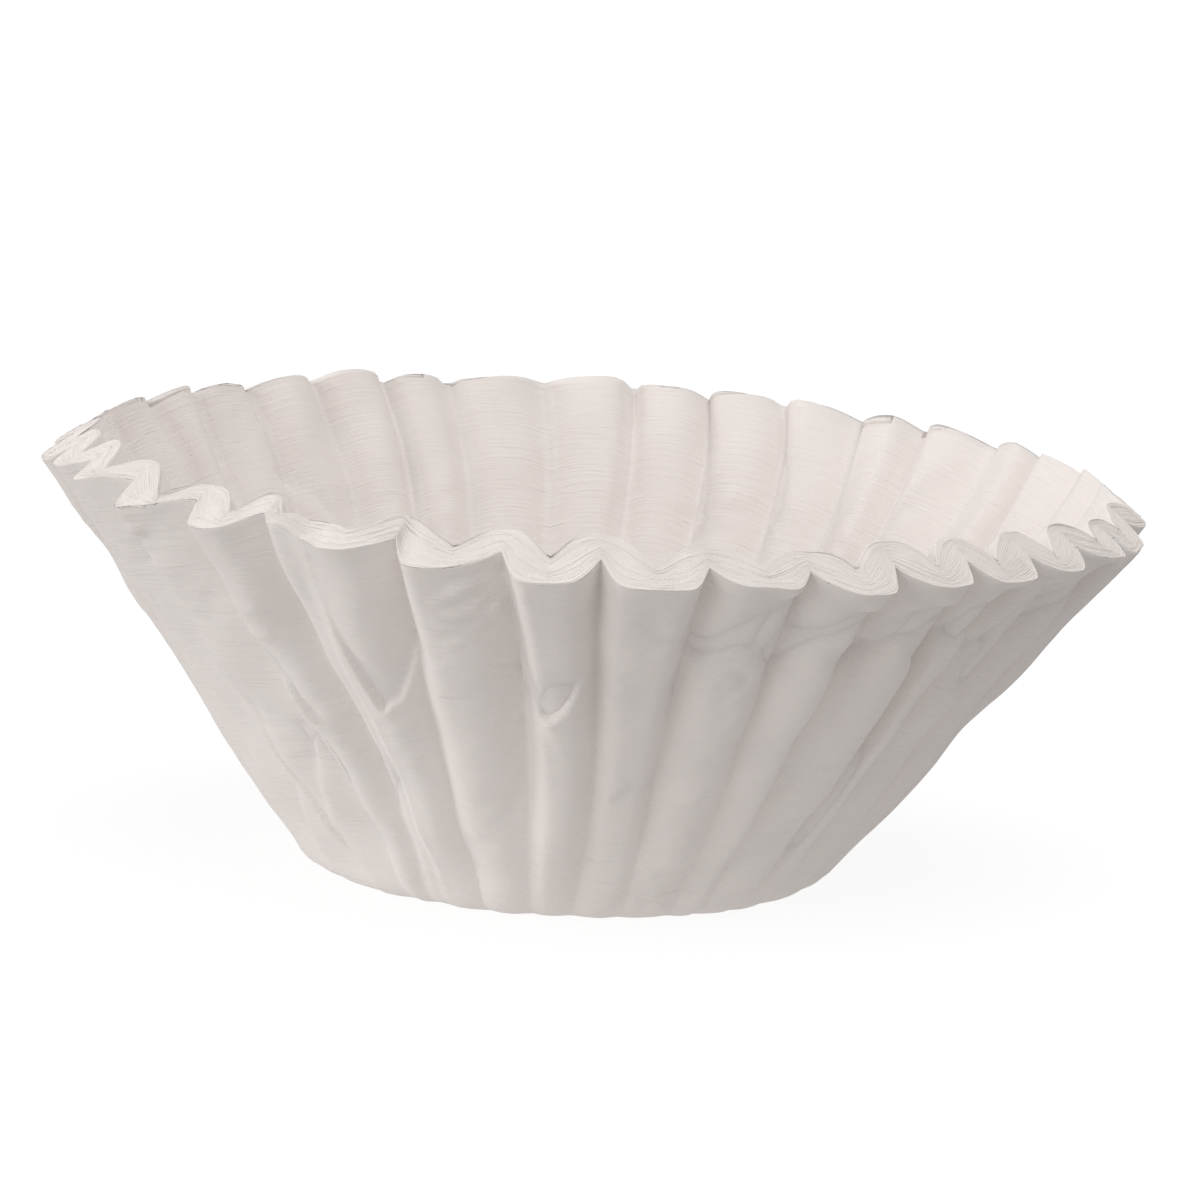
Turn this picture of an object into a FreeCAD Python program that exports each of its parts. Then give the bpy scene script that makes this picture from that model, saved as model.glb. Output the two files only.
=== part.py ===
"""A bundle of nested basket filters: fifty thin paper discs pressed together into one open,
fluted cup with a flat round base. All sizes are in millimetres and all angles in degrees.

The middle of the base stands on the origin, +Z points up and -Y is the front. An azimuth is
measured from the front towards +X. The bundle is described by its middle surface: a flat disc,
a rounded corner and a straight leaning wall, along which the flutes grow. The outer and the
inner surface lie half a wall's thickness to either side of it.
"""
import FreeCAD
import Part
import math
import os

# The sheets
SHEETS = 50
SHEET_THICKNESS = 0.082
FLAT_DIAMETER = 203.0

# The cup that they are pressed into
BASE_RADIUS = 31.6
CORNER_RADIUS = 6.6
WALL_LEAN = 35.4
LEAN_TO_THE_RIGHT = 2.5
LEAN_TO_THE_FRONT = 1.4

# The flutes
FLUTES = 36
FLUTE_DEPTH = 3.8
FLUTE_GROWTH = 0.7
FOLD_NARROWING = 0.5

# The valleys at the front, from left to right: the azimuth of each, and its depth as a share
# of half the flutes' depth. The valleys that are left are spaced evenly round the back.
FRONT_VALLEYS = (
    (-70.5, 1.0),
    (-58.5, 1.0),
    (-47.0, 1.0),
    (-35.8, 1.0),
    (-30.0, -0.3),
    (-19.4, 1.0),
    (-8.1, 1.0),
    (2.2, 1.0),
    (13.0, 1.0),
    (23.4, 1.0),
    (33.4, 1.0),
    (44.0, 1.0),
    (53.4, 1.0),
    (63.3, 1.0),
)

# How the surfaces are divided: flat strips in half a flute, and rows up the corner and wall
STRIPS_PER_HALF = 3
CORNER_ROWS = (0.0, 0.5)
WALL_ROWS = (0.0, 0.1, 0.35, 0.65, 1.0)

# The layers of the wall, as shares of its thickness from the middle surface
OUTSIDE = 0.5
INSIDE = -0.5

WALL = SHEETS * SHEET_THICKNESS
MIDDLE_RADIUS = CORNER_RADIUS - WALL / 2
TURN = math.radians(90.0 - WALL_LEAN)
BEND_LENGTH = MIDDLE_RADIUS * TURN
WALL_LENGTH = FLAT_DIAMETER / 2 - BASE_RADIUS - CORNER_RADIUS * TURN
BEND_SHARE = BEND_LENGTH / (BEND_LENGTH + WALL_LENGTH)


def all_valleys():
    """The azimuth and depth of every valley once round, closed by the first one again."""
    first = FRONT_VALLEYS[0]
    last = FRONT_VALLEYS[-1]
    remaining = FLUTES - len(FRONT_VALLEYS)
    step = (360.0 + first[0] - last[0]) / (remaining + 1)
    valleys = list(FRONT_VALLEYS)
    for count in range(remaining):
        valleys.append((last[0] + step * (count + 1), 1.0))
    valleys.append((first[0] + 360.0, first[1]))
    return valleys


def middle_surface(azimuth, rise):
    """Radius, height and outward direction of the middle surface at a share of its length.

    Up to the corner's end it follows a circle, and from there a straight line at the lean.
    """
    toward = math.radians(azimuth)
    lean = WALL_LEAN + LEAN_TO_THE_RIGHT * math.sin(toward) + LEAN_TO_THE_FRONT * math.cos(toward)
    turn = math.radians(90.0 - lean)
    bend = MIDDLE_RADIUS * turn
    path = rise * (bend + WALL_LENGTH)
    angle = min(path / MIDDLE_RADIUS, turn)
    along = max(path - bend, 0.0)
    radius = BASE_RADIUS + MIDDLE_RADIUS * math.sin(angle) + along * math.cos(turn)
    height = CORNER_RADIUS - MIDDLE_RADIUS * math.cos(angle) + along * math.sin(turn)
    return radius, height, math.sin(angle), -math.cos(angle)


def fluted_point(left, right, share, rise, layer):
    """A point of one layer, at a share of the way from one valley to the next.

    Outside, round arches meet in sharp valleys. Inside, it is the other way round, and the
    layers between lie in proportion. The flutes grow from nothing at the base, and towards
    the rim each arch bulges sideways over the fold beside it.
    """
    pitch = right[0] - left[0]
    radius, height, outward, upward = middle_surface(left[0] + pitch * share, rise)
    growth = rise ** FLUTE_GROWTH
    blend = (1.0 - math.cos(math.pi * share)) / 2
    depth = left[1] + (right[1] - left[1]) * blend
    outer_wave = (1.0 + depth) * math.sin(math.pi * share) - depth
    inner_wave = 1.0 - (1.0 + depth) * abs(math.cos(math.pi * share))
    wave = (0.5 + layer) * outer_wave + (0.5 - layer) * inner_wave
    offset = layer * WALL + FLUTE_DEPTH / 2 * growth * wave
    sideways = layer * FOLD_NARROWING * growth * math.sin(math.tau * share) / math.pi
    azimuth = math.radians(left[0] + pitch * (share - sideways))
    radius += offset * outward
    height += offset * upward
    return FreeCAD.Vector(radius * math.sin(azimuth), -radius * math.cos(azimuth), height)


def ring(rise, layer):
    """A closed outline of one layer at one height, with a corner on each fold and crest."""
    valleys = all_valleys()
    strips = 2 * STRIPS_PER_HALF
    points = []
    for left, right in zip(valleys, valleys[1:]):
        for count in range(strips):
            points.append(fluted_point(left, right, count / strips, rise, layer))
    return Part.makePolygon(points + points[:1])


def make_bundle():
    """The solid of all the sheets: up its outside, over the rim and down its inside.

    Its two flat ends are the underside of the base and the floor of the cup.
    """
    rises = [BEND_SHARE * row for row in CORNER_ROWS]
    rises += [BEND_SHARE + (1.0 - BEND_SHARE) * row for row in WALL_ROWS]
    rings = [ring(rise, OUTSIDE) for rise in rises]
    rings += [ring(rise, INSIDE) for rise in reversed(rises)]
    return Part.makeLoft(rings, True, True)


def main():
    """Write the bundle's one solid."""
    os.makedirs("parts", exist_ok=True)
    bundle = make_bundle()
    bundle.exportStep("parts/filter_bundle.step")


main()
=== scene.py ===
import math

import bpy
import numpy as np
from mathutils import Matrix, Vector


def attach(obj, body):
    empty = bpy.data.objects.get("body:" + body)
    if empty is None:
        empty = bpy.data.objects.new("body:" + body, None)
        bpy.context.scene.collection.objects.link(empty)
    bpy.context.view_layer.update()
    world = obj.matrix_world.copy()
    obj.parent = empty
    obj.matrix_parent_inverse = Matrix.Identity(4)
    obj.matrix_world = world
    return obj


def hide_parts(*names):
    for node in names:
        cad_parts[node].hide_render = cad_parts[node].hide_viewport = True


bl_info = {
    "name": "Pressed Filter Bundle",
    "version": (1, 0, 0),
    "blender": (4, 5, 0),
    "location": "View3D > Sidebar > Filters",
    "description": "Dresses a bundle of nested fluted paper filters",
    "category": "Add Mesh",
}

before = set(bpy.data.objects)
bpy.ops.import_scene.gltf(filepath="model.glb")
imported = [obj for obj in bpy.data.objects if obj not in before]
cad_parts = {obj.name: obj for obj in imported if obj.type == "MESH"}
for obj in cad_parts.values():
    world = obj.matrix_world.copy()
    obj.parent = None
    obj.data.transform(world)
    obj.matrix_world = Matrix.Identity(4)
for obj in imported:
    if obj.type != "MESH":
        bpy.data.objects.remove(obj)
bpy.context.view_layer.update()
NODE = "filter_bundle"
BODY = "root"
MM = 0.001
SEED = 38

# The valleys seen from the front, from left to right. Of each: its azimuth in degrees at the
# rim and at the three heights below, its depth at the rim and at the foot as shares of half the
# flutes' depth, how far the arches close over it at the rim, how far the crest to its right
# stands out beyond the even depth, in half millimetres, the widths of its left and right sides
# at the rim and the roundness of its bottom, as shares of a flute.
VALLEY_HEIGHTS = (1.0, 0.78, 0.35, 0.05)
FRONT_VALLEYS = (
    (-69.0, -69.0, -66.5, -62.5, 1.3, 1.0, 0.10, -0.6, 0.72, 0.16, 0.030),
    (-57.0, -57.5, -54.5, -48.5, 1.5, 0.6, 0.10, 1.6, 0.80, 0.15, 0.020),
    (-44.7, -43.2, -38.5, -36.5, 1.5, 1.1, 0.10, -0.3, 0.80, 0.14, 0.015),
    (-35.0, -33.8, -29.8, -30.0, 1.6, 0.8, 0.00, -4.4, 0.55, 0.30, 0.050),
    (-28.6, -28.2, -26.2, -24.5, -0.3, -0.9, 0.00, -0.5, 0.30, 0.30, 0.030),
    (-18.9, -18.9, -19.0, -17.2, 1.3, 1.0, 0.00, 0.4, 0.40, 0.13, 0.004),
    (-7.8, -6.5, -6.2, -7.0, 1.2, 1.2, 0.10, 1.6, 0.46, 0.20, 0.020),
    (2.2, 2.4, 3.6, 2.4, 1.1, 1.0, 0.25, 0.2, 0.28, 0.18, 0.015),
    (13.0, 12.4, 12.6, 13.0, 1.0, 1.0, 0.30, -0.7, 0.20, 0.32, 0.006),
    (23.4, 23.1, 24.2, 24.7, 1.0, 0.8, 0.40, 0.9, 0.24, 0.36, 0.005),
    (33.0, 31.5, 32.4, 31.5, 1.1, 0.7, 0.45, 0.4, 0.22, 0.40, 0.005),
    (42.4, 42.1, 45.1, 42.0, 1.1, 0.9, 0.30, 0.2, 0.18, 0.34, 0.006),
    (51.9, 47.5, 49.2, 50.8, 1.0, 1.0, 0.20, -0.7, 0.14, 0.40, 0.008),
    (61.5, 58.5, 62.0, 68.5, 1.3, 1.4, 0.20, -0.7, 0.22, 0.36, 0.008),
)

# The folds pressed across the flutes at the front. Of each: its kind, its height in
# millimetres, how far it reaches to the left and to the right of its route, in millimetres, and
# the route itself as azimuths in degrees and shares of the wall. Going along the route, a step
# lifts the side to the left above the side to the right, and a ridge lifts both, or sinks them
# where its height is negative. A pocket is a step that rises slowly along the first half of its
# route, and a lip one that rises at once and then fades slowly.
FRONT_FOLDS = (
    ("pocket", -1.4, 6.0, 4.0, ((-28.6, 0.88), (-27.6, 0.765), (-26.4, 0.69), (-25.4, 0.62),
                                (-24.8, 0.582), (-23.6, 0.602), (-22.2, 0.610), (-20.9, 0.65),
                                (-19.5, 0.71), (-18.4, 0.76))),
    ("lip", -1.9, 5.0, 3.5, ((-4.4, 0.606), (-2.6, 0.614), (-1.3, 0.64), (-0.3, 0.67),
                             (0.7, 0.71), (1.8, 0.77))),
    ("lip", 1.5, 3.0, 5.0, ((-35.8, 0.508), (-38.2, 0.555), (-40.2, 0.62), (-41.7, 0.765),
                            (-42.8, 0.88))),
    ("lip", 1.2, 3.5, 6.0, ((-45.8, 0.10), (-49.0, 0.20), (-52.0, 0.31), (-53.2, 0.50),
                            (-55.6, 0.68), (-56.8, 0.80), (-57.3, 0.93))),
    ("step", -0.9, 3.0, 2.0, ((-60.5, 0.08), (-57.0, 0.18), (-53.4, 0.29))),
    ("step", -0.9, 3.0, 2.0, ((-50.0, 0.185), (-47.5, 0.215), (-45.4, 0.27), (-43.9, 0.34),
                              (-42.4, 0.44), (-41.0, 0.54))),
    ("ridge", -1.8, 2.0, 3.5, ((23.0, 0.97), (20.6, 0.925), (17.6, 0.86), (13.6, 0.795),
                               (12.0, 0.77))),
    ("ridge", -1.8, 2.0, 3.5, ((32.0, 0.94), (29.9, 0.905), (26.4, 0.853), (22.4, 0.78),
                                (21.0, 0.755))),
    ("ridge", -1.8, 2.0, 3.5, ((41.4, 0.94), (39.1, 0.90), (36.1, 0.84), (32.1, 0.765),
                                (30.5, 0.735))),
    ("ridge", -1.8, 2.0, 3.5, ((51.5, 0.97), (49.8, 0.93), (44.8, 0.853), (40.8, 0.795),
                                (39.0, 0.77))),
    ("ridge", -1.6, 2.2, 4.0, ((58.5, 0.97), (55.3, 0.87), (51.8, 0.795), (48.5, 0.76))),
    ("ridge", -2.2, 2.2, 4.0, ((72.0, 0.97), (69.0, 0.93), (62.6, 0.853), (58.6, 0.78),
                                (54.2, 0.69), (52.5, 0.65))),
    ("step", 0.50, 1.5, 1.8, ((5.4, 0.38), (7.0, 0.40), (9.0, 0.445))),
    ("step", 0.65, 3.0, 3.0, ((13.3, 0.40), (16.0, 0.385), (19.0, 0.38), (21.0, 0.43))),
    ("ridge", 0.30, 1.2, 1.2, ((16.0, 0.275), (18.6, 0.26), (21.0, 0.28))),
    ("ridge", 0.30, 1.2, 1.2, ((16.0, 0.21), (19.0, 0.20), (22.0, 0.22))),
    ("step", 0.40, 2.0, 2.0, ((37.5, 0.485), (39.5, 0.49), (41.5, 0.50))),
    ("step", 0.40, 2.0, 2.0, ((34.5, 0.375), (37.0, 0.37), (40.0, 0.39))),
    ("step", 0.40, 2.0, 2.0, ((36.0, 0.315), (39.0, 0.31), (41.5, 0.335))),
    ("step", 0.50, 1.2, 1.2, ((47.0, 0.77), (49.5, 0.755), (52.5, 0.775))),
    ("step", 0.34, 1.0, 1.4, ((-17.6, 0.905), (-15.0, 0.90), (-12.2, 0.885))),
    ("step", 0.30, 1.0, 1.4, ((-17.4, 0.868), (-15.4, 0.870), (-13.0, 0.858))),
    ("step", 0.34, 1.0, 1.4, ((-17.6, 0.838), (-15.6, 0.835), (-12.8, 0.83))),
    ("step", 0.26, 1.0, 1.4, ((-17.4, 0.81), (-15.2, 0.808), (-13.4, 0.81))),
    ("step", 0.44, 1.0, 1.4, ((-17.2, 0.635), (-15.2, 0.645), (-12.8, 0.64))),
    ("step", 0.38, 1.0, 1.4, ((-16.8, 0.455), (-14.4, 0.462), (-12.0, 0.455))),
    ("step", 0.44, 1.0, 1.4, ((-17.6, 0.352), (-14.4, 0.350), (-11.6, 0.342))),
    ("step", 0.44, 1.0, 1.4, ((-17.2, 0.252), (-14.4, 0.245), (-11.6, 0.242))),
    ("step", 0.44, 1.0, 1.4, ((-17.6, 0.160), (-15.0, 0.148), (-9.8, 0.144))),
    ("ridge", 0.26, 0.9, 0.9, ((-55.0, 0.86), (-53.5, 0.85), (-51.5, 0.83))),
    ("ridge", 0.30, 0.9, 0.9, ((-42.0, 0.80), (-40.0, 0.795), (-37.6, 0.81))),
    ("ridge", 0.30, 0.9, 0.9, ((-42.0, 0.735), (-40.0, 0.73), (-37.6, 0.74))),
    ("ridge", 0.22, 0.9, 0.9, ((-13.0, 0.96), (-10.5, 0.93), (-9.0, 0.90))),
)

# Of each kind of fold: the shares of its route over which it rises and fades away
FOLD_FADES = {
    "pocket": (0.50, 0.18),
    "lip": (0.12, 0.60),
    "step": (0.22, 0.22),
    "ridge": (0.16, 0.16),
}
FOLD_EDGE = 0.32 * MM
FOLD_ROUND = 0.35 * MM

# The valleys at the back: how far each may lie off its even place and then wander from height
# to height, in degrees, and the least and the greatest of its values from the rim's depth on
BACK_WANDER = 2.2
BACK_BEND = 0.9
BACK_FORMS = (
    (0.9, 0.4, 0.2, -0.9, 0.14, 0.14, 0.004),
    (1.1, 1.0, 0.7, 0.9, 0.38, 0.34, 0.025),
)

# The folds placed by chance, on the outside at the back and all round the inside. Wrinkles run
# across the flutes and slants down them. Widths are half a fold's width in degrees, rises,
# tilts and drops are shares of the wall, and heights and reaches are in millimetres.
BACK_FOLDS = 34
BACK_SPAN = (100.0, 262.0)
INNER_FOLDS = 30
INNER_SPAN = (0.0, 360.0)
CHANCE_RISES = (0.25, 0.92)
CHANCE_BOW = 0.01
WRINKLE_WIDTHS = (2.0, 3.0)
WRINKLE_TILT = 0.02
WRINKLE_HEIGHTS = (0.15, 0.35)
WRINKLE_REACHES = (1.2, 1.5)
SLANT_WIDTHS = (3.0, 6.0)
SLANT_DROPS = (0.08, 0.2)
SLANT_HEIGHTS = (0.4, 0.9)
SLANT_REACHES = (4.5, 3.5)

# The form of the flutes. Widths and roundness are shares of a flute. Towards the foot each
# valley's width nears one common width, and everything grows rounder.
SKEW = 0.10
FOOT_WIDTH = 0.42
FOOT_SHARE = 0.45
HOLLOW_BEYOND = 0.5
HOLLOWING = 0.5
ROUND_AT_RIM = 0.5
ROUND_AT_FOOT = 2.5
SHOULDER_AT_RIM = 0.16
SHOULDER_AT_FOOT = 0.28
CLOSING_AT_FOOT = 0.55
INNER_WIDTHS = (0.28, 0.42)
INNER_ROUND_AT_RIM = 0.012
INNER_ROUND_AT_FOOT = 0.072
INNER_LIFT = 0.9
CREST_SHARE = 0.5
LOBE_SHARE = 0.6

# The paper is even on the base, and uneven in full from a tenth of the way up. Its crumple
# comes and goes, and is never less than a share.
EVEN_BELOW = -0.02
UNEVEN_ABOVE = 0.10
LEAST_CRUMPLE = 0.35

# The even noises: how many waves each adds up, the longest and the shortest of them, and a
# number for its seed. The first three are in metres, and those of the rim in its own radius.
WAVES = {
    "patches": (12, 45 * MM, 18 * MM, 3),
    "crumple": (60, 9 * MM, 2.2 * MM, 4),
    "waviness": (24, 60 * MM, 10 * MM, 5),
    "rim": (12, 1.6, 0.30, 6),
    "grooves": (16, 0.5, 0.05, 7),
    "slow_edge": (10, 0.9, 0.12, 10),
    "quick_edge": (14, 0.08, 0.015, 40),
}

# The cut edges, in leaves of a few sheets each: the rows across a leaf, how uneven it is, the
# grooves between the leaves, and the place at the front where the sheets splay
LEAVES = 22
OUTER_LEAVES = 4
LEAF_ROWS = ((0.13, "edge"), (0.5, "middle"), (0.87, "edge"), (1.0, "groove"))
GROOVE_ROW = len(LEAF_ROWS) - 1
LEAF_STEP = 0.3
LEAF_CROWN = 0.012 * MM
SLOW_EDGE = 0.055 * MM
QUICK_EDGE = 0.022 * MM
CREST_DROP = 0.35 * MM
RIM_WAVE = 0.30 * MM
RIM_WAVE_AT_THE_SIDE = 1.3
GROOVE_DEPTH = 0.020 * MM
GROOVE_CHANGE = 0.07 * MM
SPLAY_AZIMUTH = -19.6
SPLAY_WIDTH = 1.5
SPLAY_DEPTH = 0.24 * MM
SPLAY_HEIGHT = 0.30 * MM
SPLAY_TURN = 2.4

# How the grids are divided. More rows lie in the upper half, and most at the crowded height.
FRONT_COLUMNS = 24
BACK_COLUMNS = 10
FLUTES_IN_FRONT = 16
FLUTES_AT_THE_LEFT = 3
COLUMN_CROWDING = 0.45
WALL_ROWS = 122
INNER_ROWS = 72
CORNER_ROWS = 8
ROWS_BELOW = 0.85
MORE_ROWS_ABOVE = 0.45
UPPER_HALF = 0.5
CROWDED_HEIGHT = 0.64
CROWDED_SPAN = 0.09
CROWDED_ROWS = 1.1
FINE_STEPS = 400
ROWS_UNDER_RIM = (0.35 * MM, 0.06 * MM)
HIDDEN_ROWS = (0.95, 0.55, 0.12)
STACK_ROWS = (0.9, 0.97)
FLAT_ROWS = (0.45, 0.85)

# The paper's patterns: noise scales in waves per metre, how much each adds, and the bump
PATCH_SCALE = 55.0
PATCH_SHARE = 0.7
FLECK_SCALE = 900.0
FLECK_SHARE = 0.3
MOTTLE_START = 0.1
MOTTLE = 0.7
LINE_SCALE = 95.0
LINE_TILT = 30.0
LINE_SHARE = 0.62
FIBRE_SCALE = 1900.0
EDGE_FIBRE_SCALE = 1300.0
FIBRE_SHARE = 0.28
WRINKLE_SCALE = 70.0
WRINKLE_SCALE_UP = 260.0
WRINKLE_SHARPNESS = 26.0
WRINKLE_SHARE = 0.22
WRINKLE_PATCH_SCALE = 75.0
WRINKLE_PATCH_CONTRAST = 5.0
FACE_BUMP = (0.85, 0.30 * MM)
EDGE_BUMP = (0.75, 0.20 * MM)
ROUGHNESS_CHANGE = 0.08


class BundleSizes(bpy.types.PropertyGroup):
    """The sizes of the bundle, which are those of the solid that it covers."""

    sheets: bpy.props.IntProperty(name="Sheets", description="Discs nested in the bundle", default=50)
    sheet_thickness: bpy.props.FloatProperty(
        name="Sheet thickness", description="Thickness of one pressed disc", default=0.082 * MM,
        unit="LENGTH", precision=6)
    flat_diameter: bpy.props.FloatProperty(
        name="Flat diameter", description="Width of a disc before it is pressed", default=0.203,
        unit="LENGTH")
    base_radius: bpy.props.FloatProperty(
        name="Base radius", description="Radius of the flat base", default=0.0316, unit="LENGTH")
    corner_radius: bpy.props.FloatProperty(
        name="Corner radius", description="Outer radius between base and wall", default=0.0066,
        unit="LENGTH")
    wall_lean: bpy.props.FloatProperty(
        name="Wall lean", description="Lean of the wall from upright", default=math.radians(35.4),
        subtype="ANGLE")
    lean_to_the_right: bpy.props.FloatProperty(
        name="Lean to the right", description="Further lean at the right side",
        default=math.radians(2.5), subtype="ANGLE")
    lean_to_the_front: bpy.props.FloatProperty(
        name="Lean to the front", description="Further lean at the front",
        default=math.radians(1.4), subtype="ANGLE")
    flutes: bpy.props.IntProperty(name="Flutes", description="Folds once round", default=36)
    flute_depth: bpy.props.FloatProperty(
        name="Flute depth", description="From crest to valley at the rim", default=0.0038,
        unit="LENGTH")
    flute_growth: bpy.props.FloatProperty(
        name="Flute growth", description="Power of the height by which the flutes deepen",
        default=0.7)
    waviness: bpy.props.FloatProperty(
        name="Waviness", description="Slow unevenness of the paper", default=0.28 * MM,
        unit="LENGTH", precision=6)
    crumple: bpy.props.FloatProperty(
        name="Crumple", description="Fine unevenness of the paper", default=0.035 * MM,
        unit="LENGTH", precision=6)


class PaperFinish(bpy.types.PropertyGroup):
    """The colours and the grain of the paper, and the light of the studio."""

    paper: bpy.props.FloatVectorProperty(
        name="Paper", description="Faces of the sheets", default=(0.84, 0.787, 0.757),
        subtype="COLOR")
    shade: bpy.props.FloatVectorProperty(
        name="Shade", description="Thinner and warmer patches of the paper",
        default=(0.80, 0.732, 0.692), subtype="COLOR")
    edges: bpy.props.FloatVectorProperty(
        name="Cut edges", description="Cut edges of the sheets", default=(0.875, 0.812, 0.768),
        subtype="COLOR")
    roughness: bpy.props.FloatProperty(
        name="Roughness", description="Roughness of the unglazed paper", default=0.92)
    crepe_pitch: bpy.props.FloatProperty(
        name="Crepe pitch", description="Distance between the fine lines across a flute",
        default=0.42 * MM, unit="LENGTH", precision=6)
    side_light: bpy.props.FloatProperty(
        name="Side light", description="Strength of the low light from the left", default=0.80)
    key_light: bpy.props.FloatProperty(
        name="Key light", description="Strength of the soft light from the front", default=0.62)
    top_light: bpy.props.FloatProperty(
        name="Top light", description="Strength of the soft light from above", default=1.42)
    sky_light: bpy.props.FloatProperty(
        name="Sky light", description="Strength of the light from all round", default=0.42)


class Cup:
    """The sizes that the surfaces are worked out from, in metres and radians."""

    def __init__(self, sizes):
        self.sizes = sizes
        self.wall = sizes.sheets * sizes.sheet_thickness
        self.bend_radius = sizes.corner_radius - self.wall / 2
        self.turn = math.pi / 2 - sizes.wall_lean
        self.straight = sizes.flat_diameter / 2 - sizes.base_radius - sizes.corner_radius * self.turn
        self.length = self.bend_radius * self.turn + self.straight
        self.bend_share = self.bend_radius * self.turn / self.length
        self.reach = self.straight * math.sin(sizes.wall_lean)


class Fluting:
    """The columns of the grid and the valleys that they lie between.

    A column's share of the way across its flute is x - c sin(2 pi x) / (2 pi) for even steps of
    x, which crowds the columns at the valleys by c.
    """

    def __init__(self, cup):
        self.flute = []
        self.share = []
        flutes = cup.sizes.flutes
        for number in range(flutes):
            front = number < FLUTES_IN_FRONT or number >= flutes - FLUTES_AT_THE_LEFT
            count = FRONT_COLUMNS if front else BACK_COLUMNS
            step = np.arange(count) / count
            self.flute.append(np.full(count, number))
            self.share.append(step - COLUMN_CROWDING * np.sin(math.tau * step) / math.tau)
        self.flute = np.concatenate(self.flute)
        self.share = np.concatenate(self.share)
        self.place_valleys(flutes)

    def place_valleys(self, flutes):
        """Spaces the valleys that are left evenly round the back, a little off their places,
        and draws the skew of every flute and the widths and heights of the inside's lobes."""
        draw = np.random.default_rng(SEED)
        front = np.array(FRONT_VALLEYS)
        missing = flutes - len(front)
        heights = len(VALLEY_HEIGHTS)
        first = front[0, :heights]
        last = front[-1, :heights]
        count = np.arange(1, missing + 1)[:, None]
        places = last + (first + 360.0 - last) * count / (missing + 1)
        wander = draw.uniform(-1.0, 1.0, (missing, 1)) * BACK_WANDER
        places += wander + draw.uniform(-BACK_BEND, BACK_BEND, (missing, heights))
        forms = draw.uniform(BACK_FORMS[0], BACK_FORMS[1], (missing, len(BACK_FORMS[0])))
        table = np.vstack([front, np.hstack([places, forms]), front[:1]])
        table[-1, :heights] += 360.0
        self.curves = np.polyfit(VALLEY_HEIGHTS, table[:, :heights].T, heights - 1)
        (self.rim_depth, self.foot_depth, self.closing, self.lift, self.left_width,
         self.right_width, self.round) = table[:, heights:].T
        skew = draw.uniform(-SKEW, SKEW, flutes)
        self.leaning = self.share + skew[self.flute] * np.sin(math.pi * self.share) ** 2
        self.inner_width = draw.uniform(*INNER_WIDTHS, flutes)
        self.inner_lift = draw.uniform(-INNER_LIFT, INNER_LIFT, flutes + 1)
        self.inner_lift[-1] = self.inner_lift[0]

    def azimuths(self, rise):
        """The azimuth of every valley at each height, as a cubic through its four places."""
        return np.polyval(self.curves, np.clip(rise, 0.0, 1.0))

    def across(self, values):
        """A value of the valleys at every column, eased from each valley to the next."""
        blend = (1.0 - np.cos(math.pi * self.share)) / 2
        return values[..., self.flute] * (1.0 - blend) + values[..., self.flute + 1] * blend


def eased(value):
    """A smooth rise from 0 to 1, 3 v^2 - 2 v^3, for a value from 0 to 1."""
    value = np.clip(value, 0.0, 1.0)
    return value * value * (3.0 - 2.0 * value)


def rim_to_foot(rim, foot, up):
    """A value that changes evenly from the rim down to the foot of the wall."""
    return foot + (rim - foot) * up


def notch(away, width, bottom, shoulder):
    """The depth, from 1 at its bottom to 0, of a notch at a distance from its middle. Its sides
    are straight, its shoulders rounded by ln(1 + exp(v)) and its bottom by a hyperbola."""
    away = np.sqrt(away ** 2 + bottom ** 2) - bottom
    width = np.sqrt(width ** 2 + bottom ** 2) - bottom
    ramp = np.logaddexp(0.0, (1.0 - away / width) / shoulder)
    return ramp / np.logaddexp(0.0, 1.0 / shoulder)


def ripples(points, kind, leaf=0):
    """Even noise of height about 1: a sum of sine waves through space, each of a random
    direction, phase and length, drawn evenly by its logarithm. Each leaf has its own."""
    count, longest, shortest, seed = WAVES[kind]
    draw = np.random.default_rng(SEED + seed + leaf)
    total = np.zeros(points.shape[:-1])
    for _ in range(count):
        heading = draw.normal(size=3)
        heading /= np.linalg.norm(heading)
        length = longest * (shortest / longest) ** draw.uniform()
        total += np.sin(points @ (heading * math.tau / length) + draw.uniform(0.0, math.tau))
    return total / math.sqrt(count / 2)


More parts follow.
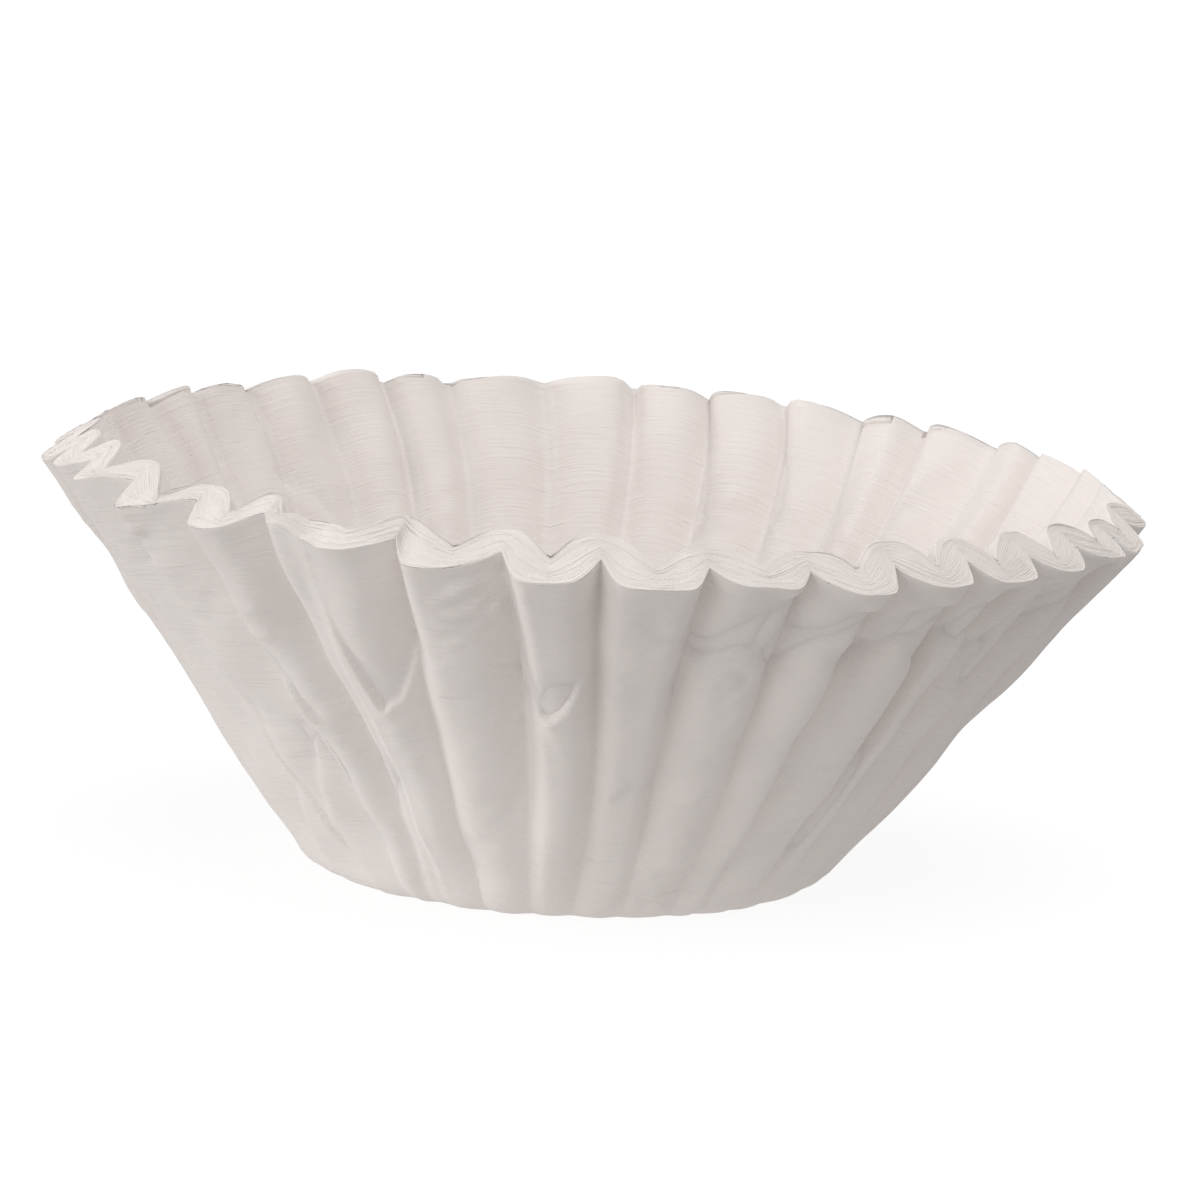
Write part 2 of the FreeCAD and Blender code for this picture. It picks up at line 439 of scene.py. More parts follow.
def fold_height(cup, azimuth, rise, fold):
    """The height that one fold adds, from each point's distance to the nearest stretch of its
    route: 0.5 tanh(d / edge) exp(-|d| / reach) for a step and exp(-|d| / reach) for a ridge,
    which is a little rounded. Both fade to nothing at the route's ends. Nearest to a corner of
    the route, the side is taken from the mean direction of the two stretches that meet there."""
    kind, height, left, right, route = fold
    route = np.array(route)
    centre = route[:, 0].mean()
    radius = cup.sizes.base_radius + cup.reach * route[:, 1].mean()
    across = (azimuth - centre + 180.0) % 360.0 - 180.0
    x = np.radians(across) * radius
    y = rise * cup.length
    route_x = np.radians(route[:, 0] - centre) * radius
    route_y = route[:, 1] * cup.length
    spans = np.hypot(np.diff(route_x), np.diff(route_y))
    nearest = np.full(x.shape, np.inf)
    side = np.zeros(x.shape)
    along = np.zeros(x.shape)
    steps = np.stack([np.diff(route_x), np.diff(route_y)]) / spans
    for number, span in enumerate(spans):
        step_x, step_y = steps[:, number]
        off_x = x - route_x[number]
        off_y = y - route_y[number]
        reached = np.clip(off_x * step_x + off_y * step_y, 0.0, span)
        away = np.hypot(off_x - reached * step_x, off_y - reached * step_y)
        closer = away < nearest
        nearest = np.where(closer, away, nearest)
        turn_x, turn_y = steps[:, number] + steps[:, max(number - 1, 0)]
        before = off_y * turn_x - off_x * turn_y
        turn_x, turn_y = steps[:, number] + steps[:, min(number + 1, len(spans) - 1)]
        after = (y - route_y[number + 1]) * turn_x - (x - route_x[number + 1]) * turn_y
        sign = np.where(reached >= span, after, off_y * step_x - off_x * step_y)
        sign = np.where(reached <= 0.0, before, sign)
        side = np.where(closer, np.sign(sign), side)
        along = np.where(closer, spans[:number].sum() + reached, along)
    share = along / spans.sum()
    first, last = FOLD_FADES[kind]
    fade = eased(share / first) * eased((1.0 - share) / last)
    reach = np.where(side > 0.0, left, right) * MM
    profile = np.exp(-(np.hypot(nearest, FOLD_ROUND) - FOLD_ROUND) / reach)
    if kind != "ridge":
        profile = profile * 0.5 * np.tanh(side * nearest / FOLD_EDGE)
    return height * MM * fade * profile


def chance_folds(count, first, last, seed):
    """Folds at random places between two azimuths: by turns a long slanting step and a short
    wrinkle."""
    draw = np.random.default_rng(SEED + seed)
    folds = []
    for number in range(count):
        azimuth = first + (last - first) * (number + draw.uniform()) / count
        rise = draw.uniform(*CHANCE_RISES)
        if number % 2:
            width = draw.uniform(*WRINKLE_WIDTHS)
            climb = draw.uniform(-WRINKLE_TILT, WRINKLE_TILT)
            height = draw.uniform(*WRINKLE_HEIGHTS)
            reaches = WRINKLE_REACHES
        else:
            width = draw.uniform(*SLANT_WIDTHS) * draw.choice((-1.0, 1.0))
            climb = -draw.uniform(*SLANT_DROPS)
            height = draw.uniform(*SLANT_HEIGHTS) * draw.choice((-1.0, 1.0))
            reaches = SLANT_REACHES
        start = (azimuth - width, rise - climb)
        middle = (azimuth, rise + CHANCE_BOW)
        end = (azimuth + width, rise + climb)
        folds.append(("step", height, *reaches, (start, middle, end)))
    return folds


OUTER_FOLDS = FRONT_FOLDS + tuple(chance_folds(BACK_FOLDS, *BACK_SPAN, 1))
INSIDE_FOLDS = tuple(chance_folds(INNER_FOLDS, *INNER_SPAN, 2))


def relief(cup, points, azimuth, rise, layer):
    """How far the paper lies off its even flutes: slow waves, a fine crumple that comes and
    goes in patches, and the pressed folds of the outside and of the inside."""
    patches = LEAST_CRUMPLE + (1.0 - LEAST_CRUMPLE) * ripples(points, "patches") ** 2
    fine = cup.sizes.crumple * patches * ripples(points, "crumple")
    slow = cup.sizes.waviness * ripples(points, "waviness")
    outer = np.zeros(azimuth.shape)
    inner = np.zeros(azimuth.shape)
    if layer.max() > 0.0:
        for fold in OUTER_FOLDS:
            outer += fold_height(cup, azimuth, rise, fold)
    if layer.min() < 0.0:
        for fold in INSIDE_FOLDS:
            inner += fold_height(cup, azimuth, rise, fold)
    growing = eased((rise - EVEN_BELOW) / (UNEVEN_ABOVE - EVEN_BELOW))
    return growing * (fine + slow + (0.5 + layer) * outer + (0.5 - layer) * inner)


def leaf_edge(azimuth, leaf):
    """How far the sheets of one leaf stand past the even rim: slow and quick waves round it."""
    beside = np.full(azimuth.shape, LEAF_STEP * leaf)
    ring = np.stack([np.sin(azimuth), np.cos(azimuth), beside], -1)
    slow = SLOW_EDGE * ripples(ring, "slow_edge", leaf)
    return slow + QUICK_EDGE * ripples(ring, "quick_edge", leaf)


def rim_height(fluting, azimuth, leaf, place):
    """How far a row of the cut edges stands past the even rim. The crests that stand out also
    stand lower, each leaf has its own height, and grooves of changing depth part the leaves."""
    lift = fluting.lift[fluting.flute] * np.sin(math.pi * fluting.share) ** 2
    height = np.repeat(-CREST_DROP * lift[None, :], len(leaf), axis=0)
    ring = np.stack([np.sin(azimuth), np.cos(azimuth), np.zeros(azimuth.shape)], -1)
    height += RIM_WAVE * ripples(ring, "rim") * (RIM_WAVE_AT_THE_SIDE - np.cos(azimuth))
    splay = np.exp(-((np.degrees(azimuth) - SPLAY_AZIMUTH) / SPLAY_WIDTH) ** 2)
    depth = GROOVE_DEPTH + GROOVE_CHANGE * np.abs(ripples(ring, "grooves")) + SPLAY_DEPTH * splay
    for number in range(len(leaf)):
        own = leaf_edge(azimuth[number], leaf[number])
        own += SPLAY_HEIGHT * splay[number] * math.sin(SPLAY_TURN * leaf[number])
        if place[number] == "groove":
            beyond = min(leaf[number] + 1, LEAVES - 1)
            own = np.minimum(own, leaf_edge(azimuth[number], beyond)) - depth[number]
        elif place[number] == "middle":
            own += LEAF_CROWN
        height[number] += own
    return height


def outer_notches(fluting, up):
    """The notches of the valleys to the left and to the right of every column. The wide left
    sides are hollow."""
    flute = fluting.flute
    widths = []
    for rim in (fluting.left_width, fluting.right_width):
        foot = rim + (FOOT_WIDTH - rim) * FOOT_SHARE
        widths.append(rim_to_foot(rim, foot, up))
    left_widths, right_widths = widths
    bottoms = rim_to_foot(ROUND_AT_RIM, ROUND_AT_FOOT, up) * fluting.round
    hollows = bottoms + HOLLOWING * np.maximum(left_widths - HOLLOW_BEYOND, 0.0)
    shoulder = rim_to_foot(SHOULDER_AT_RIM, SHOULDER_AT_FOOT, up)
    left = notch(fluting.leaning, right_widths[:, flute], bottoms[:, flute], shoulder)
    right = notch(1.0 - fluting.leaning, left_widths[:, flute + 1], hollows[:, flute + 1], shoulder)
    return left, right


def inner_wave(fluting, depth, up):
    """The wave of the inside: a notch at the middle of each flute, between round lobes."""
    width = rim_to_foot(fluting.inner_width[fluting.flute], FOOT_WIDTH, up)
    bottom = rim_to_foot(INNER_ROUND_AT_RIM, INNER_ROUND_AT_FOOT, up)
    shoulder = rim_to_foot(SHOULDER_AT_RIM, SHOULDER_AT_FOOT, up)
    return (1.0 + depth) * notch(np.abs(fluting.leaning - 0.5), width, bottom, shoulder) - depth


def middle_surface(cup, azimuth, rise, past_rim):
    """Radius, height and slope of the middle surface: a flat disc, then a circular bend, then a
    straight leaning wall, which goes on past the rim for a short way."""
    sizes = cup.sizes
    lean = (sizes.wall_lean + sizes.lean_to_the_right * np.sin(azimuth)
            + sizes.lean_to_the_front * np.cos(azimuth))
    turn = math.pi / 2 - lean
    bend = cup.bend_radius * turn
    path = np.clip(rise, 0.0, 1.0) * (bend + cup.straight) + past_rim
    slope = np.minimum(path / cup.bend_radius, turn)
    along = np.maximum(path - bend, 0.0)
    flat = sizes.base_radius * (1.0 + np.minimum(rise, 0.0))
    radius = flat + cup.bend_radius * np.sin(slope) + along * np.cos(turn)
    height = sizes.corner_radius - cup.bend_radius * np.cos(slope) + along * np.sin(turn)
    return radius, height, slope


def set_off(surface, azimuth, offset):
    """The points at a distance outside the middle surface, square to it."""
    radius, height, slope = surface
    away = radius + offset * np.sin(slope)
    raised = height - offset * np.cos(slope)
    return np.stack([away * np.sin(azimuth), -away * np.cos(azimuth), raised], -1)


def sheet_points(cup, fluting, rise, layer, leaf, place):
    """The points of a grid, one row for each height and layer, one column round the cup.

    Rise is -1 in the middle of the base, 0 at its edge and 1 at the rim. A layer lies its share
    of the wall's thickness outside the middle surface, plus half the flutes' depth times rise
    to a power times the wave. Outside, the wave is 1 less a notch at each valley, and inside it
    is a notch at the middle of each flute between round lobes. Both bulge sideways over the
    valley by sin(2 pi t). Leaf and place say which leaf of the rim a row belongs to, and where
    on it the row lies.
    """
    sizes = cup.sizes
    rise = np.array(rise, dtype=float)[:, None]
    layer = np.array(layer, dtype=float)[:, None]
    up = np.clip(rise, 0.0, 1.0)
    flute = fluting.flute
    share = fluting.share
    growth = up ** sizes.flute_growth
    closings = fluting.closing * rim_to_foot(1.0, CLOSING_AT_FOOT, up ** 3)
    sideways = layer * fluting.across(closings) * growth * np.sin(math.tau * share) / math.pi
    places = fluting.azimuths(rise)
    left = places[:, flute]
    azimuth = np.radians(left + (places[:, flute + 1] - left) * (share - sideways))

    depths = rim_to_foot(fluting.rim_depth, fluting.foot_depth, up)
    left_notch, right_notch = outer_notches(fluting, up)
    outer_wave = (1.0 - (1.0 + depths[:, flute]) * left_notch
                  - (1.0 + depths[:, flute + 1]) * right_notch)
    arches = fluting.lift[flute] * (1.0 - left_notch) * (1.0 - right_notch)
    lobes = fluting.across(fluting.inner_lift) * np.cos(math.pi * share) ** 2
    outside = 0.5 + layer
    inside = 0.5 - layer
    wave = outside * outer_wave + inside * inner_wave(fluting, fluting.across(depths), up)
    crests = (outside * CREST_SHARE * arches + inside * LOBE_SHARE * lobes) * MM
    offset = layer * cup.wall + growth * (sizes.flute_depth / 2 * wave + crests)

    past_rim = rim_height(fluting, azimuth, leaf, place) * (rise >= 1.0)
    surface = middle_surface(cup, azimuth, rise, past_rim)
    points = set_off(surface, azimuth, offset)
    degrees = np.degrees(azimuth)
    offset = offset + relief(cup, points, degrees, np.broadcast_to(rise, degrees.shape), layer)
    return set_off(surface, azimuth, offset)


def edge_rows(first, last):
    """The rows across the cut edges, from the first leaf named up to the last one but without
    it: for each leaf two edges and a rounded middle between them, and the groove behind it."""
    layers = []
    leaves = []
    places = []
    for number in range(first, last):
        for share, place in LEAF_ROWS:
            layers.append(0.5 - (number + share) / LEAVES)
            leaves.append(number)
            places.append(place)
    return layers, leaves, places


def wall_rises(cup, count):
    """Heights up the bend and the wall: closer where the folds are sharpest, and two of them
    close below the rim."""
    bend = [cup.bend_share * row / CORNER_ROWS for row in range(CORNER_ROWS)]
    even = np.linspace(cup.bend_share, 1.0, FINE_STEPS)
    crowd = ROWS_BELOW + MORE_ROWS_ABOVE * (even > UPPER_HALF)
    crowd = crowd + CROWDED_ROWS * np.exp(-((even - CROWDED_HEIGHT) / CROWDED_SPAN) ** 2)
    crowd = np.cumsum(crowd)
    steps = np.linspace(crowd[0], crowd[-1], count, endpoint=False)
    wall = np.interp(steps, crowd, even).tolist()
    return bend + wall + [1.0 - below / cup.length for below in ROWS_UNDER_RIM]


def make_mesh(name, grid, path, poles, edges):
    """A closed mesh from a grid that is closed round its columns. With poles, its first and
    last rows shrink to one point each, and otherwise the last row joins the first. Path is
    each row's place on the flat sheet, and edges marks the rows that show the cut edges."""
    rows, columns = grid.shape[:2]
    number = np.arange(rows * columns).reshape(rows, columns)
    across = np.roll(number, -1, axis=1)
    if poles:
        lower = slice(1, rows - 2)
        upper = slice(2, rows - 1)
        quads = np.stack([number[lower], across[lower], across[upper], number[upper]], -1)
        bottom = np.stack([np.full(columns, number[0, 0]), across[1], number[1]], -1)
        top = np.stack([np.full(columns, number[-1, 0]), number[-2], across[-2]], -1)
        triangles = np.concatenate([bottom, top])
        marks = edges[1:rows - 2]
    else:
        upper = np.roll(number, -1, axis=0)
        quads = np.stack([number, across, np.roll(upper, -1, axis=1), upper], -1)
        triangles = np.zeros((0, 3), dtype=int)
        marks = edges
    material = np.repeat(marks, columns)
    material = np.concatenate([material, np.zeros(len(triangles), dtype=int)])
    round_share = np.tile(np.arange(columns) / columns, rows)
    flat_u = round_share[np.concatenate([quads.reshape(-1), triangles.reshape(-1)])].copy()
    last_column = np.zeros(quads.shape[:2], dtype=bool)
    last_column[:, -1] = True
    wrapped = np.zeros(quads.shape, dtype=bool)
    wrapped[..., 1:3] = last_column[..., None]
    flat_u[:wrapped.size][wrapped.reshape(-1)] = 1.0
    quads = quads.reshape(-1, 4)

    corners = np.concatenate([quads.reshape(-1), triangles.reshape(-1)])
    used, corners = np.unique(corners, return_inverse=True)
    starts = np.concatenate([np.arange(len(quads)) * 4,
                             len(quads) * 4 + np.arange(len(triangles)) * 3])
    mesh = bpy.data.meshes.new(name)
    mesh.vertices.add(len(used))
    mesh.vertices.foreach_set("co", grid.reshape(-1, 3)[used].astype(np.float32).reshape(-1))
    mesh.loops.add(len(corners))
    mesh.loops.foreach_set("vertex_index", corners.astype(np.int32))
    mesh.polygons.add(len(starts))
    mesh.polygons.foreach_set("loop_start", starts.astype(np.int32))
    mesh.polygons.foreach_set("material_index", material.astype(np.int32))
    mesh.update(calc_edges=True)
    layer = mesh.uv_layers.new(name="sheet")
    flat_v = np.repeat(path, columns)[used][corners]
    layer.uv.foreach_set("vector", np.stack([flat_u, flat_v], -1).astype(np.float32).reshape(-1))
    mesh.validate()
    mesh.shade_smooth()
    return mesh


def add_piece(context, name, mesh, materials):
    """Links a finished mesh, gives it its papers, and sets it on the solid that it covers."""
    piece = bpy.data.objects.new(name, mesh)
    context.scene.collection.objects.link(piece)
    for material in materials:
        mesh.materials.append(material)
    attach(piece, BODY)
    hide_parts(NODE)
    return piece


class Value:
    """A socket that carries a number, on which arithmetic adds Math nodes."""

    def __init__(self, board, socket):
        self.board = board
        self.socket = socket

    def math(self, operation, *others):
        return self.board.add("ShaderNodeMath", {"operation": operation}, dict(enumerate(others)))

    def __add__(self, other):
        return self.math("ADD", self, other)

    __radd__ = __add__

    def __mul__(self, other):
        return self.math("MULTIPLY", self, other)

    __rmul__ = __mul__

    def __sub__(self, other):
        return self.math("SUBTRACT", self, other)

    def __rsub__(self, other):
        return self.math("SUBTRACT", other, self)

    def __abs__(self):
        return self.math("ABSOLUTE", self)

    def at_least(self, other):
        return self.math("MAXIMUM", self, other)


class Board:
    """The node tree of one material or world."""

    def __init__(self, tree):
        self.tree = tree
        tree.nodes.clear()

    def add(self, kind, settings=None, inputs=None, output=0):
        """A new node: its settings first, then the values or links of its sockets."""
        node = self.tree.nodes.new(kind)
        for name, value in (settings or {}).items():
            setattr(node, name, value)
        for key, value in (inputs or {}).items():
            if isinstance(value, Value):
                self.tree.links.new(value.socket, node.inputs[key])
            else:
                node.inputs[key].default_value = value
        return Value(self, node.outputs[output]) if node.outputs else node

    def noise(self, vector, scale, detail, rough=0.5):
        """Even noise from 0 to 1 at a vector times a scale."""
        inputs = {"Vector": vector, "Scale": scale, "Detail": detail, "Roughness": rough}
        return self.add("ShaderNodeTexNoise", {}, inputs)


def paper_tint(board, place, colour, shade):
    """The paper's colour, which drifts into its shade in soft patches and flecks."""
    patches = board.noise(place, PATCH_SCALE, 3.0)
    flecks = board.noise(place, FLECK_SCALE, 2.0)
    mottle = (patches * PATCH_SHARE + flecks * FLECK_SHARE - MOTTLE_START) * MOTTLE
    return board.add(
        "ShaderNodeMix", {"data_type": "RGBA"},
        {"Factor": mottle, "A": (*colour, 1.0), "B": (*shade, 1.0)}, output="Result")


def paper_relief(board, place, fibres, crepe_pitch):
    """The height of the sheets' faces: fine broken lines across the flutes, at the crepe's pitch
    up the wall, a felt of fibres, and in patches sharp wrinkles along a noise's contour lines."""
    flat = board.add("ShaderNodeUVMap", {"uv_map": "sheet"})
    up = board.add("ShaderNodeSeparateXYZ", {}, {0: flat}, output=1)
    split = board.add("ShaderNodeSeparateXYZ", {}, {0: place})
    x, y, z = (Value(board, socket) for socket in split.socket.node.outputs)
    lines_place = board.add(
        "ShaderNodeCombineXYZ", {},
        {0: x * LINE_SCALE, 1: y * LINE_SCALE, 2: up * (1.0 / crepe_pitch) + z * LINE_TILT})
    lines = board.noise(lines_place, 1.0, 2.5, 0.6)
    wrinkle_place = board.add(
        "ShaderNodeCombineXYZ", {},
        {0: x * WRINKLE_SCALE, 1: y * WRINKLE_SCALE, 2: up * WRINKLE_SCALE_UP})
    wrinkles = board.noise(wrinkle_place, 1.0, 1.0)
    patch = (board.noise(place, WRINKLE_PATCH_SCALE, 1.0) - 0.5) * WRINKLE_PATCH_CONTRAST
    wrinkles = (1.0 - abs(wrinkles - 0.5) * WRINKLE_SHARPNESS).at_least(0.0) * patch.at_least(0.0)
    return lines * LINE_SHARE + fibres * FIBRE_SHARE + wrinkles * WRINKLE_SHARE


def paper_material(name, finish, colour, edge):
    """Matt creped paper. On the cut edges a coarser felt of fibres is all of its relief."""
    material = bpy.data.materials.new(name)
    material.use_nodes = True
    board = Board(material.node_tree)
    place = board.add("ShaderNodeTexCoord", output="Object")
    fibres = board.noise(place, EDGE_FIBRE_SCALE if edge else FIBRE_SCALE, 3.0, 0.65)
    height = fibres if edge else paper_relief(board, place, fibres, finish.crepe_pitch)
    strength, distance = EDGE_BUMP if edge else FACE_BUMP
    bump = board.add(
        "ShaderNodeBump", {}, {"Strength": strength, "Distance": distance, "Height": height})
    shader = board.add(
        "ShaderNodeBsdfPrincipled", {},
        {"Base Color": paper_tint(board, place, colour, finish.shade),
         "Roughness": fibres * ROUGHNESS_CHANGE + (finish.roughness - ROUGHNESS_CHANGE / 2),
         "Specular IOR Level": 0.18, "Sheen Weight": 0.06, "Sheen Roughness": 0.5,
         "Subsurface Weight": 0.12, "Subsurface Scale": 1.2 * MM,
         "Subsurface Radius": (1.0, 0.8, 0.65), "Normal": bump})
    board.add("ShaderNodeOutputMaterial", {}, {"Surface": shader})
    return material


def papers(context):
    """The two materials of every piece: the sheets' faces and their cut edges."""
    finish = context.scene.paper_finish
    kinds = (("paper_face", finish.paper, False), ("paper_edge", finish.edges, True))
    made = []
    for name, colour, edge in kinds:
        kept = bpy.data.materials.get(name)
        made.append(kept or paper_material(name, finish, tuple(colour), edge))
    return made


class FILTERS_OT_outer_sheets(bpy.types.Operator):
    """Adds the outermost sheets: the underside, the outer wall and the outer edge of the rim"""

    bl_idname = "filters.outer_sheets"
    bl_label = "Outer sheets"

    def execute(self, context):
        cup = Cup(context.scene.bundle_sizes)
        fluting = Fluting(cup)
        wall = wall_rises(cup, WALL_ROWS)
        layers, leaves, places = edge_rows(0, OUTER_LEAVES)
        flat = [-1.0] + [share - 1.0 for share in FLAT_ROWS]
        hidden = list(HIDDEN_ROWS) + [0.0] + flat[::-1]
        rise = flat + wall + [1.0] * (1 + len(layers)) + hidden
        layer = [0.5] * (len(flat) + len(wall) + 1) + layers + [layers[-1]] * len(hidden)
        before = len(flat) + len(wall)
        leaf = [0] * (before + 1) + leaves + [0] * len(hidden)
        place = ["edge"] * (before + 1) + places + ["edge"] * len(hidden)
        grid = sheet_points(cup, fluting, rise, layer, leaf, place)
        grid[..., 2] = np.maximum(grid[..., 2], 0.0)
        marks = np.zeros(len(rise), dtype=int)
        marks[before:before + len(layers)] = 1
        mesh = make_mesh("outer_sheets", grid, np.array(rise) * cup.length, True, marks)
        add_piece(context, "outer_sheets", mesh, papers(context))
        return {"FINISHED"}


class FILTERS_OT_sheet_edges(bpy.types.Operator):
    """Adds the sheets between, of which only the cut edges show at the rim"""

    bl_idname = "filters.sheet_edges"
    bl_label = "Sheet edges"

    def execute(self, context):
        cup = Cup(context.scene.bundle_sizes)
        fluting = Fluting(cup)
        layers, leaves, places = edge_rows(OUTER_LEAVES - 1, LEAVES - OUTER_LEAVES)
        layers = layers[GROOVE_ROW:]
        hidden = len(STACK_ROWS)
        rise = list(STACK_ROWS) + [1.0] * len(layers) + list(STACK_ROWS[::-1])
        layer = layers[:1] * hidden + layers + layers[-1:] * hidden
        leaf = [0] * hidden + leaves[GROOVE_ROW:] + [0] * hidden
        place = ["edge"] * hidden + places[GROOVE_ROW:] + ["edge"] * hidden
        grid = sheet_points(cup, fluting, rise, layer, leaf, place)
        marks = np.ones(len(rise), dtype=int)
        mesh = make_mesh("sheet_edges", grid, np.array(rise) * cup.length, False, marks)
        add_piece(context, "sheet_edges", mesh, papers(context))
        return {"FINISHED"}


class FILTERS_OT_inner_sheets(bpy.types.Operator):
    """Adds the innermost sheets: the inner edge of the rim, the inner wall and the cup's floor"""

    bl_idname = "filters.inner_sheets"
    bl_label = "Inner sheets"

    def execute(self, context):
        cup = Cup(context.scene.bundle_sizes)
        fluting = Fluting(cup)
        wall = wall_rises(cup, INNER_ROWS)[::-1]
        layers, leaves, places = edge_rows(LEAVES - OUTER_LEAVES - 1, LEAVES)
        layers = layers[GROOVE_ROW:-1]
        flat = [-1.0] + [share - 1.0 for share in FLAT_ROWS]
        hidden = flat + [0.0] + list(HIDDEN_ROWS[::-1])
        after = wall + flat[::-1]
        rise = hidden + [1.0] * (len(layers) + 1) + after
        layer = layers[:1] * len(hidden) + layers + [-0.5] * (1 + len(after))
        leaf = [0] * len(hidden) + leaves[GROOVE_ROW:-1] + [LEAVES - 1] * (1 + len(after))
        place = ["edge"] * len(hidden) + places[GROOVE_ROW:-1] + ["edge"] * (1 + len(after))
        grid = sheet_points(cup, fluting, rise, layer, leaf, place)
        marks = np.zeros(len(rise), dtype=int)
        marks[len(hidden):len(hidden) + len(layers)] = 1
        mesh = make_mesh("inner_sheets", grid, np.array(rise) * cup.length, True, marks)
        add_piece(context, "inner_sheets", mesh, papers(context))
        return {"FINISHED"}


# The camera, from the fit to the photograph: distance, height above level, roll, and how far the
# middle of the picture lies right of and above the point that it turns about
CAMERA_DISTANCE = 0.930
CAMERA_ELEVATION = 10.17
CAMERA_ROLL = 2.613
CAMERA_LENS = 202.6
SENSOR_WIDTH = 36.0
CAMERA_TARGET = (0.0, 0.0, 0.026)
AIM_RIGHT = 3.68 * MM
AIM_UP = 11.30 * MM

# The lights: azimuth and elevation of each, and its width, in degrees
SIDE_DIRECTION = (-90.0, 7.0)
KEY_DIRECTION = (-45.0, 16.0)
TOP_DIRECTION = (30.0, 72.0)
SIDE_SPREAD = 20.0
KEY_SPREAD = 34.0
TOP_SPREAD = 60.0

# The light table: its size, how it lights the cup, brightest at a spot under it, and how the
# camera sees it
FLOOR_SIZE = 6.0
WHITE = (1.0, 1.0, 1.0, 1.0)
TABLE_GREY = (0.10, 0.10, 0.10, 1.0)
TABLE_LIGHT = (1.0, 0.99, 0.98, 1.0)
TABLE_GLOW = 0.34
SPOT_GLOW = 0.30
SPOT_CENTRE = (-0.02, -0.05, 0.0)
SPOT_WIDTH = 0.10
SHOWN_GREY = (0.18, 0.18, 0.18, 1.0)
SHOWN_GLOW = 0.87


def make_camera(scene):
    """A long lens in front of the cup, tipped so that the right side lies a little lower."""
    elevation = math.radians(CAMERA_ELEVATION)
    roll = math.radians(CAMERA_ROLL)
    back = Vector((0.0, -math.cos(elevation), math.sin(elevation)))
    level = Vector((1.0, 0.0, 0.0))
    up = back.cross(level)
    right = level * math.cos(roll) + up * math.sin(roll)
    top = up * math.cos(roll) - level * math.sin(roll)
    target = Vector(CAMERA_TARGET)
    place = target + back * CAMERA_DISTANCE
    away = (place - (target + right * AIM_RIGHT + top * AIM_UP)).normalized()
    right = top.cross(away).normalized()
    top = away.cross(right)
    data = bpy.data.cameras.new("camera")
    data.lens = CAMERA_LENS
    data.sensor_width = SENSOR_WIDTH
    camera = bpy.data.objects.new("camera", data)
    turned = Matrix((right, top, away)).transposed().to_4x4()
    camera.matrix_world = Matrix.Translation(place) @ turned
    scene.collection.objects.link(camera)
    scene.camera = camera


def make_light(scene, name, direction, spread, strength):
    """One wide soft light, from an azimuth and an elevation in degrees."""
    data = bpy.data.lights.new(name, "SUN")
    data.energy = strength
    data.angle = math.radians(spread)
    light = bpy.data.objects.new(name, data)
    azimuth, elevation = (math.radians(angle) for angle in direction)
    level = math.cos(elevation)
    toward = Vector((math.sin(azimuth) * level, -math.cos(azimuth) * level, math.sin(elevation)))
    light.matrix_world = toward.to_track_quat("Z", "Y").to_matrix().to_4x4()
    scene.collection.objects.link(light)


def make_world(scene, strength):
    """Even light from all round, which the camera and mirror reflections see as white."""
    world = bpy.data.worlds.new("studio")
    world.use_nodes = True
    board = Board(world.node_tree)
    seen = board.add("ShaderNodeLightPath", output="Is Camera Ray")
    glossy = board.add("ShaderNodeLightPath", output="Is Glossy Ray")
    white = seen.at_least(glossy)
    level = white * (1.0 - strength) + strength
    light = board.add("ShaderNodeBackground", {}, {"Color": WHITE, "Strength": level})
    board.add("ShaderNodeOutputWorld", {}, {"Surface": light})
    scene.world = world


def floor_material():
    """A pale light table, which lights the wall from below. The camera sees it almost white,
    and it still keeps a soft shadow."""
    material = bpy.data.materials.new("studio_floor")
    material.use_nodes = True
    board = Board(material.node_tree)
    seen = board.add("ShaderNodeLightPath", output="Is Camera Ray")
    card = board.add("ShaderNodeBsdfDiffuse", {}, {"Color": TABLE_GREY})
    place = board.add("ShaderNodeTexCoord", output="Object")
    away = board.add(
        "ShaderNodeVectorMath", {"operation": "DISTANCE"}, {0: place, 1: SPOT_CENTRE}, output=1)
    away = away * (1.0 / SPOT_WIDTH)
    spot = board.add("ShaderNodeMath", {"operation": "EXPONENT"}, {0: away * away * -1.0})
    strength = spot * SPOT_GLOW + TABLE_GLOW
    low = board.add("ShaderNodeEmission", {}, {"Color": TABLE_LIGHT, "Strength": strength})
    table = board.add("ShaderNodeAddShader", {}, {0: card, 1: low})
    dim = board.add("ShaderNodeBsdfDiffuse", {}, {"Color": SHOWN_GREY})
    bright = board.add("ShaderNodeEmission", {}, {"Color": WHITE, "Strength": SHOWN_GLOW})
    shown = board.add("ShaderNodeAddShader", {}, {0: dim, 1: bright})
    mixed = board.add("ShaderNodeMixShader", {}, {0: seen, 1: table, 2: shown})
    board.add("ShaderNodeOutputMaterial", {}, {"Surface": mixed})
    return material


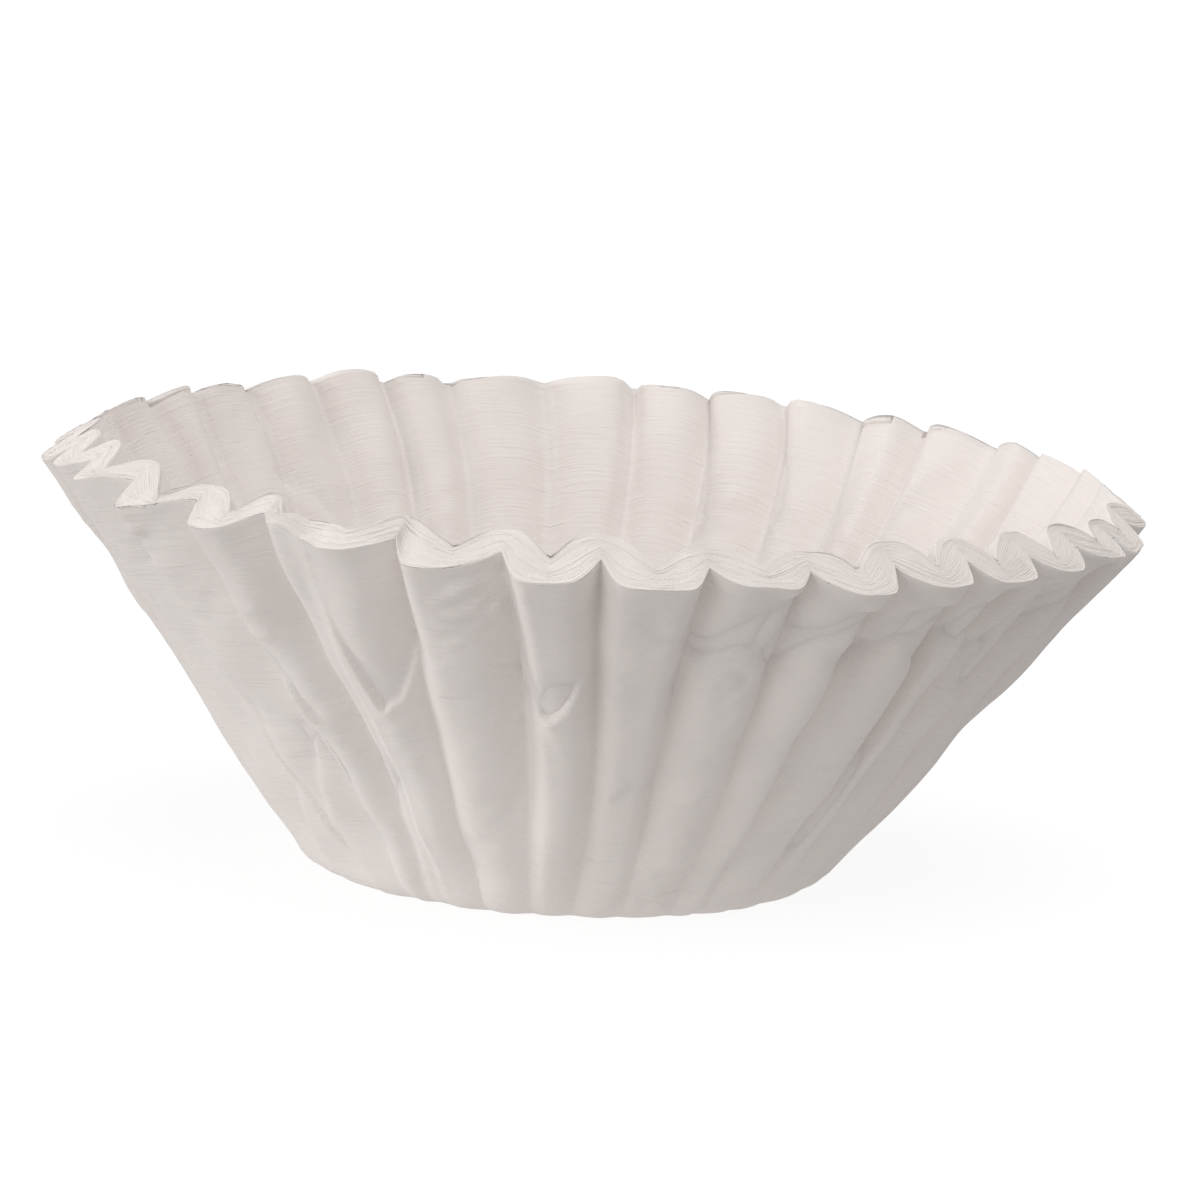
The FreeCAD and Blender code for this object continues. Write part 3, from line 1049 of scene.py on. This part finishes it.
class FILTERS_OT_studio(bpy.types.Operator):
    """Adds the pale floor, the soft lights and the camera"""

    bl_idname = "filters.studio"
    bl_label = "Studio"

    def execute(self, context):
        scene = context.scene
        half = FLOOR_SIZE / 2
        mesh = bpy.data.meshes.new("floor")
        corners = [(-half, -half, 0.0), (half, -half, 0.0), (half, half, 0.0), (-half, half, 0.0)]
        mesh.from_pydata(corners, [], [(0, 1, 2, 3)])
        mesh.materials.append(floor_material())
        floor = bpy.data.objects.new("floor", mesh)
        scene.collection.objects.link(floor)
        make_camera(scene)
        finish = scene.paper_finish
        make_light(scene, "side", SIDE_DIRECTION, SIDE_SPREAD, finish.side_light)
        make_light(scene, "key", KEY_DIRECTION, KEY_SPREAD, finish.key_light)
        make_light(scene, "top", TOP_DIRECTION, TOP_SPREAD, finish.top_light)
        make_world(scene, finish.sky_light)
        scene.view_settings.view_transform = "Standard"
        return {"FINISHED"}


class FILTERS_PT_panel(bpy.types.Panel):
    """Lists the sizes, the finish and the steps that build the bundle"""

    bl_idname = "FILTERS_PT_panel"
    bl_label = "Filter bundle"
    bl_space_type = "VIEW_3D"
    bl_region_type = "UI"
    bl_category = "Filters"

    def draw(self, context):
        for group in (context.scene.bundle_sizes, context.scene.paper_finish):
            column = self.layout.column(align=True)
            for name in group.__annotations__:
                column.prop(group, name)
        for operator in OPERATORS:
            self.layout.operator(operator.bl_idname)


GROUPS = (BundleSizes, PaperFinish)
OPERATORS = (
    FILTERS_OT_outer_sheets,
    FILTERS_OT_sheet_edges,
    FILTERS_OT_inner_sheets,
    FILTERS_OT_studio,
)
CLASSES = GROUPS + OPERATORS + (FILTERS_PT_panel,)


def register():
    for item in CLASSES:
        bpy.utils.register_class(item)
    bpy.types.Scene.bundle_sizes = bpy.props.PointerProperty(type=BundleSizes)
    bpy.types.Scene.paper_finish = bpy.props.PointerProperty(type=PaperFinish)


def unregister():
    del bpy.types.Scene.paper_finish
    del bpy.types.Scene.bundle_sizes
    for item in reversed(CLASSES):
        bpy.utils.unregister_class(item)


def main():
    """Build the bundle and its studio."""
    register()
    bpy.ops.filters.outer_sheets()
    bpy.ops.filters.sheet_edges()
    bpy.ops.filters.inner_sheets()
    bpy.ops.filters.studio()


if __name__ == "__main__":
    main()
